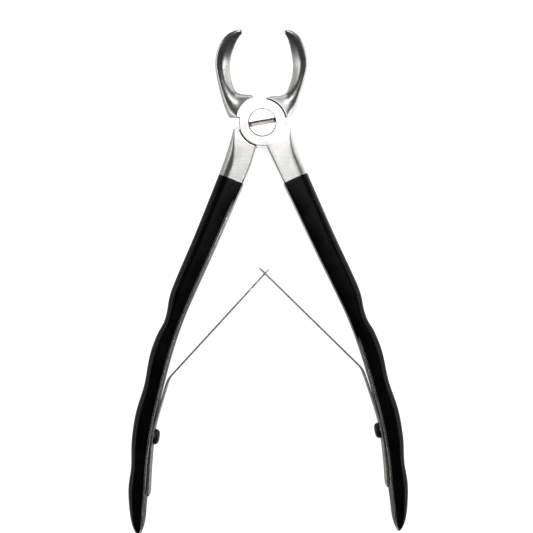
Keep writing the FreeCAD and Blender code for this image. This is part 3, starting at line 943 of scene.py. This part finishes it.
BRUSHING = build_brushing()
HANDLING = build_handling()
EDGE_WEAR_AND_HOLLOW_SHADE = build_edge_wear_and_hollow_shade()
PAINTED_CHAMFER_HIGHLIGHT = build_painted_chamfer_highlight()


def placed(tree, group, vector=None, **values):
    node = tree.nodes.new("ShaderNodeGroup")
    node.node_tree = group
    for key, value in values.items():
        node.inputs[key.replace("_", " ")].default_value = value
    if vector is not None:
        join(tree, vector, node.inputs["Vector"])
    return node


def mixed_colour(tree, factor, one, other):
    node = add(tree, "ShaderNodeMix", data_type="RGBA")
    for socket, source in ((node.inputs["Factor"], factor), (node.inputs[6], one), (node.inputs[7], other)):
        if isinstance(source, (int, float, tuple)):
            socket.default_value = source
        else:
            join(tree, source, socket)
    return node.outputs[2]


def stained(tree, base, mask, strength, colour):
    """Lays a colour over another by a mask times a strength."""
    return mixed_colour(tree, arithmetic(tree, "MULTIPLY", mask, strength), base, colour)


def raised(tree, height, distance, strength=1.0, below=None):
    node = add(tree, "ShaderNodeBump")
    node.inputs["Strength"].default_value = strength
    node.inputs["Distance"].default_value = distance
    join(tree, height, node.inputs["Height"])
    if below is not None:
        join(tree, below, node.inputs["Normal"])
    return node.outputs["Normal"]


def new_material(name):
    material = bpy.data.materials.new(name)
    material.use_nodes = True
    tree = material.node_tree
    tree.nodes.clear()
    surface = tree.nodes.new("ShaderNodeBsdfPrincipled")
    finish = tree.nodes.new("ShaderNodeOutputMaterial")
    join(tree, surface.outputs["BSDF"], finish.inputs["Surface"])
    place = tree.nodes.new("ShaderNodeTexCoord")
    return material, tree, surface, place


# ---------------------------------------------------------------- finishes

def forged_steel():
    """Satin steel, brushed across the beaks and ground on the flats, with rubbed edges and painted shade in
    hollows.
    """
    material, tree, surface, place = new_material("satin forged steel")
    where = place.outputs["Object"]
    brush = placed(tree, BRUSHING, where, Lines_per_mm=5.0, Stretch=11.0)
    grind = placed(tree, BRUSHING, where, Lines_per_mm=1.1, Stretch=1.6)
    marks = placed(tree, HANDLING, where, Smudge_size_mm=6.0, Speck_size_mm=1.1)
    edges = placed(tree, EDGE_WEAR_AND_HOLLOW_SHADE, where)
    base = mixed_colour(tree, brush.outputs["Streaks"], (0.56, 0.555, 0.54, 1), (0.74, 0.735, 0.72, 1))
    base = stained(tree, base, marks.outputs["Smudges"], 0.25, (0.52, 0.50, 0.47, 1))
    base = mixed_colour(tree, edges.outputs["Wear and painted highlight"], base, (0.80, 0.79, 0.77, 1))
    # Painted shade: hollows darkened towards a dark grey.
    base = stained(tree, base, edges.outputs["Painted hollow shade"], 0.6, (0.16, 0.15, 0.14, 1))
    join(tree, base, surface.inputs["Base Color"])
    surface.inputs["Metallic"].default_value = 1.0
    rough = value_range(tree, brush.outputs["Streaks"], 0.0, 1.0, 0.27, 0.35)
    rough = arithmetic(tree, "ADD", rough, arithmetic(tree, "MULTIPLY", marks.outputs["Smudges"], 0.06))
    join(tree, rough, surface.inputs["Roughness"])
    coarse = raised(tree, grind.outputs["Height"], 0.00002, 0.04)
    join(tree, raised(tree, brush.outputs["Height"], 0.00001, 0.22, coarse), surface.inputs["Normal"])
    return material


def screw_steel():
    """Ground steel: fine lines across the head, painted shade at the slot's foot and in other hollows."""
    material, tree, surface, place = new_material("ground screw steel")
    where = place.outputs["Object"]
    brush = placed(tree, BRUSHING, where, Lines_per_mm=7.0, Stretch=9.0)
    marks = placed(tree, HANDLING, where, Smudge_size_mm=3.0, Speck_size_mm=0.6)
    edges = placed(tree, EDGE_WEAR_AND_HOLLOW_SHADE, where)
    base = mixed_colour(tree, brush.outputs["Streaks"], (0.60, 0.585, 0.55, 1), (0.74, 0.73, 0.70, 1))
    split = add(tree, "ShaderNodeSeparateXYZ")
    join(tree, where, split.inputs["Vector"])
    sunk = value_range(tree, split.outputs["Z"], 0.00875, 0.0084)
    base = mixed_colour(tree, sunk, base, (0.58, 0.56, 0.50, 1))
    # Painted shade: the slot's walls and other hollows darkened nearly to black.
    base = mixed_colour(tree, edges.outputs["Painted hollow shade"], base, (0.06, 0.055, 0.05, 1))
    join(tree, base, surface.inputs["Base Color"])
    surface.inputs["Metallic"].default_value = 1.0
    rough = value_range(tree, marks.outputs["Smudges"], 0.0, 1.0, 0.22, 0.32)
    rough = arithmetic(tree, "ADD", rough, arithmetic(tree, "MULTIPLY", sunk, 0.2))
    join(tree, rough, surface.inputs["Roughness"])
    join(tree, raised(tree, brush.outputs["Height"], 0.00001, 0.25), surface.inputs["Normal"])
    return material


def black_coating(side, highlight_from):
    """Hard black coating: a faint orange peel under the gloss, with a painted highlight along its inner front
    edge, made as a patchy line of bare metal.
    """
    material, tree, surface, place = new_material("hard black coating, " + side)
    where = place.outputs["Object"]
    marks = placed(tree, HANDLING, where, Smudge_size_mm=9.0, Speck_size_mm=0.7)
    edges = placed(tree, EDGE_WEAR_AND_HOLLOW_SHADE, where, Sharpness=0.5)
    brush = placed(tree, BRUSHING, scaled(tree, where, (1.0, 0.15, 1.0)), Lines_per_mm=3.0, Stretch=1.5)
    base = mixed_colour(tree, marks.outputs["Smudges"], (0.0016, 0.0017, 0.002, 1), (0.004, 0.0042, 0.005, 1))
    # Painted highlight: a patchy bare-metal line along the inner front chamfer, bright where the chamfer's
    # reflection is.
    line = placed(tree, PAINTED_CHAMFER_HIGHLIGHT, place.outputs["UV"], Starts_at_mm=highlight_from)
    base = mixed_colour(tree, line.outputs["Wear and painted highlight"], base, (0.62, 0.62, 0.63, 1))
    join(tree, line.outputs["Wear and painted highlight"], surface.inputs["Metallic"])
    base = stained(tree, base, edges.outputs["Wear and painted highlight"], 0.06, (0.2, 0.2, 0.2, 1))
    base = stained(tree, base, marks.outputs["Specks"], 0.10, (0.12, 0.12, 0.125, 1))
    join(tree, base, surface.inputs["Base Color"])
    rough = value_range(tree, marks.outputs["Smudges"], 0.0, 1.0, 0.20, 0.30)
    rough = arithmetic(tree, "ADD", rough, arithmetic(tree, "MULTIPLY", brush.outputs["Streaks"], 0.05))
    join(tree, rough, surface.inputs["Roughness"])
    surface.inputs["IOR"].default_value = 1.5
    surface.inputs["Specular IOR Level"].default_value = 0.13
    peel = add(tree, "ShaderNodeTexNoise", Scale=700.0, Detail=2.0)
    join(tree, where, peel.inputs["Vector"])
    join(tree, raised(tree, peel.outputs["Fac"], 0.00003, 0.25), surface.inputs["Normal"])
    return material


def leaf_steel():
    """Cold-rolled spring strip: faint rolling lines along it, warm tint, rubbed edges."""
    material, tree, surface, place = new_material("rolled spring steel")
    along = scaled(tree, place.outputs["UV"], (MM, MM, MM))
    brush = placed(tree, BRUSHING, along, Lines_per_mm=5.0, Stretch=20.0)
    marks = placed(tree, HANDLING, place.outputs["Object"], Smudge_size_mm=5.0, Speck_size_mm=0.6)
    edges = placed(tree, EDGE_WEAR_AND_HOLLOW_SHADE, place.outputs["Object"])
    base = mixed_colour(tree, brush.outputs["Streaks"], (0.36, 0.34, 0.28, 1), (0.50, 0.48, 0.41, 1))
    base = stained(tree, base, marks.outputs["Smudges"], 0.5, (0.34, 0.30, 0.24, 1))
    base = mixed_colour(tree, edges.outputs["Wear and painted highlight"], base, (0.72, 0.70, 0.64, 1))
    join(tree, base, surface.inputs["Base Color"])
    surface.inputs["Metallic"].default_value = 1.0
    join(tree, value_range(tree, brush.outputs["Streaks"], 0.0, 1.0, 0.30, 0.42), surface.inputs["Roughness"])
    join(tree, raised(tree, brush.outputs["Height"], 0.00002, 0.4), surface.inputs["Normal"])
    return material


def black_oxide():
    """Black oxide on a button-head screw: even black, bright where a key has rubbed."""
    material, tree, surface, place = new_material("black oxide")
    where = place.outputs["Object"]
    marks = placed(tree, HANDLING, where, Smudge_size_mm=1.6, Speck_size_mm=0.35)
    edges = placed(tree, EDGE_WEAR_AND_HOLLOW_SHADE, where)
    base = mixed_colour(tree, marks.outputs["Smudges"], (0.012, 0.012, 0.013, 1), (0.022, 0.022, 0.023, 1))
    base = stained(tree, base, edges.outputs["Wear and painted highlight"], 0.5, (0.16, 0.155, 0.15, 1))
    join(tree, base, surface.inputs["Base Color"])
    surface.inputs["Metallic"].default_value = 0.6
    join(tree, value_range(tree, marks.outputs["Specks"], 0.0, 1.0, 0.30, 0.42), surface.inputs["Roughness"])
    grain = add(tree, "ShaderNodeTexNoise", Scale=4000.0, Detail=2.0)
    join(tree, where, grain.inputs["Vector"])
    join(tree, raised(tree, grain.outputs["Fac"], 0.00001, 0.3), surface.inputs["Normal"])
    return material


# ---------------------------------------------------------------- the instrument

def dress(thing, material):
    thing.data.materials.clear()
    thing.data.materials.append(material)


steel, turned_steel, strip_steel, oxide = forged_steel(), screw_steel(), leaf_steel(), black_oxide()
black = {"front": black_coating("front", 58.0), "rear": black_coating("rear", 6.0)}

for side in ("front", "rear"):
    forging = lever(side)
    dress(forging, steel)
    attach(forging, BODY[side])
    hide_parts(side + "_lever")

    skin = coating(side)
    dress(skin, black[side])
    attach(skin, BODY[side])
    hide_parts(side + "_handle_coating")

    leaf, bend, arm = leaf_spring(side)
    dress(leaf, strip_steel)
    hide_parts(LEAF[side] + "_base", LEAF[side] + "_arm")
    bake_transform(leaf)

    button = spring_screw(side)
    dress(button, oxide)
    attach(button, BODY[side])
    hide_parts(LEAF[side] + "_screw")

screw = pivot_screw()
dress(screw, turned_steel)
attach(screw, BODY["rear"])
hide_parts("pivot_screw")


# ---------------------------------------------------------------- studio

def studio_floor():
    """Pale floor. Seen directly it is white; to other rays it glows with painted light, brighter towards +X
    and +Y, and metal near the joint catches a brighter painted patch of it.
    """
    builder = bmesh.new()
    bmesh.ops.create_grid(builder, x_segments=1, y_segments=1, size=1500.0)
    floor = piece_from(builder, "pale_floor")
    floor.location = (0, 0, -0.00005)
    material, tree, surface, place = new_material("pale floor")
    surface.inputs["Base Color"].default_value = (0.5, 0.5, 0.5, 1)
    surface.inputs["Roughness"].default_value = 0.9
    surface.inputs["Specular IOR Level"].default_value = 0.0
    surface.inputs["Emission Strength"].default_value = 1.0
    split = add(tree, "ShaderNodeSeparateXYZ")
    join(tree, place.outputs["Object"], split.inputs["Vector"])
    # Painted light: the floor's glow for rays other than the camera's rises towards +X and +Y, with a
    # brighter patch close round the joint.
    lean = arithmetic(tree, "ADD", split.outputs["X"], arithmetic(tree, "MULTIPLY", split.outputs["Y"], 0.7))
    far = value_range(tree, lean, -0.05, 0.5, 0.30, 0.95)
    spread = add(tree, "ShaderNodeVectorMath", operation="LENGTH")
    join(tree, place.outputs["Object"], spread.inputs[0])
    left_line = arithmetic(tree, "ADD", split.outputs["X"],
                           arithmetic(tree, "MULTIPLY", split.outputs["Y"], -0.36))
    near = arithmetic(tree, "MULTIPLY", value_range(tree, spread.outputs["Value"], 0.07, 0.025, 0.0, 0.9),
                      value_range(tree, left_line, -0.007, 0.0))
    painted_glow = arithmetic(tree, "ADD", far, near)
    path = tree.nodes.new("ShaderNodeLightPath")
    tint = add(tree, "ShaderNodeCombineXYZ")
    for axis in "XYZ":
        join(tree, painted_glow, tint.inputs[axis])
    glow = mixed_colour(tree, path.outputs["Is Camera Ray"], tint.outputs["Vector"], (1, 1, 1, 1))
    join(tree, glow, surface.inputs["Emission Color"])
    floor.data.materials.append(material)


def soft_light(name, place, target, across, up, power):
    lamp = bpy.data.lights.new(name, "AREA")
    lamp.shape = "RECTANGLE"
    lamp.size, lamp.size_y = across, up
    lamp.energy = power
    thing = bpy.data.objects.new(name, lamp)
    thing.location = place
    thing.rotation_euler = (Vector(target) - Vector(place)).to_track_quat("-Z", "Y").to_euler()
    bpy.context.scene.collection.objects.link(thing)


def studio_air():
    """Dim grey room round the lights, white where it is seen directly."""
    world = bpy.data.worlds.new("studio")
    world.use_nodes = True
    tree = world.node_tree
    tree.nodes.clear()
    out = tree.nodes.new("ShaderNodeOutputWorld")
    dim = tree.nodes.new("ShaderNodeBackground")
    dim.inputs["Color"].default_value = (0.03, 0.031, 0.032, 1)
    pale = tree.nodes.new("ShaderNodeBackground")
    pale.inputs["Color"].default_value = (1, 1, 1, 1)
    path = tree.nodes.new("ShaderNodeLightPath")
    choose = tree.nodes.new("ShaderNodeMixShader")
    join(tree, path.outputs["Is Camera Ray"], choose.inputs["Fac"])
    join(tree, dim.outputs["Background"], choose.inputs[1])
    join(tree, pale.outputs["Background"], choose.inputs[2])
    join(tree, choose.outputs["Shader"], out.inputs["Surface"])
    bpy.context.scene.world = world


studio_floor()
studio_air()
# name, place, target, size across and up, power
LIGHTS = [
    ("overhead softbox", (0.0, 0.38, 0.95), (0.0, 0.38, 0), 0.30, 0.44, 1.9),
    ("low overhead strip", (0.05, 0.08, 0.95), (0.05, 0.08, 0), 0.60, 0.16, 0.36),
    ("side fill", (0.48, 0.48, 0.95), (0.48, 0.48, 0), 0.64, 0.64, 1.67),
    ("left side strip", (-0.75, -0.06, 0.10), (0, -0.06, 0.01), 0.7, 0.14, 1.1),
    ("right side strip", (0.75, -0.06, 0.10), (0, -0.06, 0.01), 0.7, 0.14, 1.1),
    ("back softbox", (0.0, 0.9, 0.42), (0, 0.01, 0), 0.8, 0.35, 1.6),
]
for light in LIGHTS:
    soft_light(*light)

lens = bpy.data.cameras.new("camera")
lens.lens = 51.66
lens.sensor_width = 36.0
lens.clip_start = 0.01
viewer = bpy.data.objects.new("camera", lens)
viewer.location = (0.0014, -0.0490, 0.269)
bpy.context.scene.collection.objects.link(viewer)
bpy.context.scene.camera = viewer
bpy.context.scene.view_settings.view_transform = "Standard"
